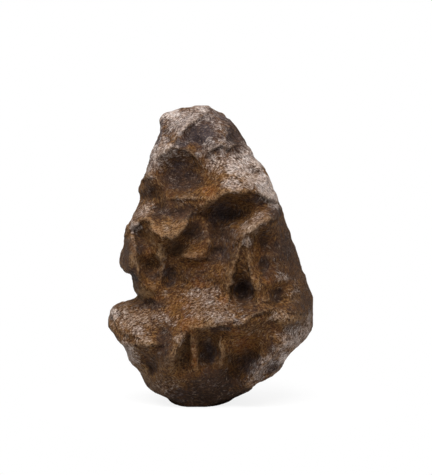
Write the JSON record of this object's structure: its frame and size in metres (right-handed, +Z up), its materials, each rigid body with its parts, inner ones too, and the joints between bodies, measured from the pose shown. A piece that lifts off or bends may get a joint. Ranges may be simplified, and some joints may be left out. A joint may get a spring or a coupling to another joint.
{
  "type": "iron meteorite",
  "caption": "Upright lump of weathered meteoric iron with thumbprint hollows, deep sockets, overhanging ledges and a side lobe, standing on a small flat foot.",
  "frame": {"origin": "on the resting plane, under the middle of the stone's bounding box", "axes": "+Z up, along the stone's height; -Y is the front with the deep hollows; +X is to the right as seen from the front"},
  "size_m": [0.2046, 0.1542, 0.296],
  "materials": {
    "iron_crust": "satin dark brown weathered crust with rust stains"
  },
  "bodies": {
    "root": {"stone": "iron_crust"}
  },
  "joints": []
}
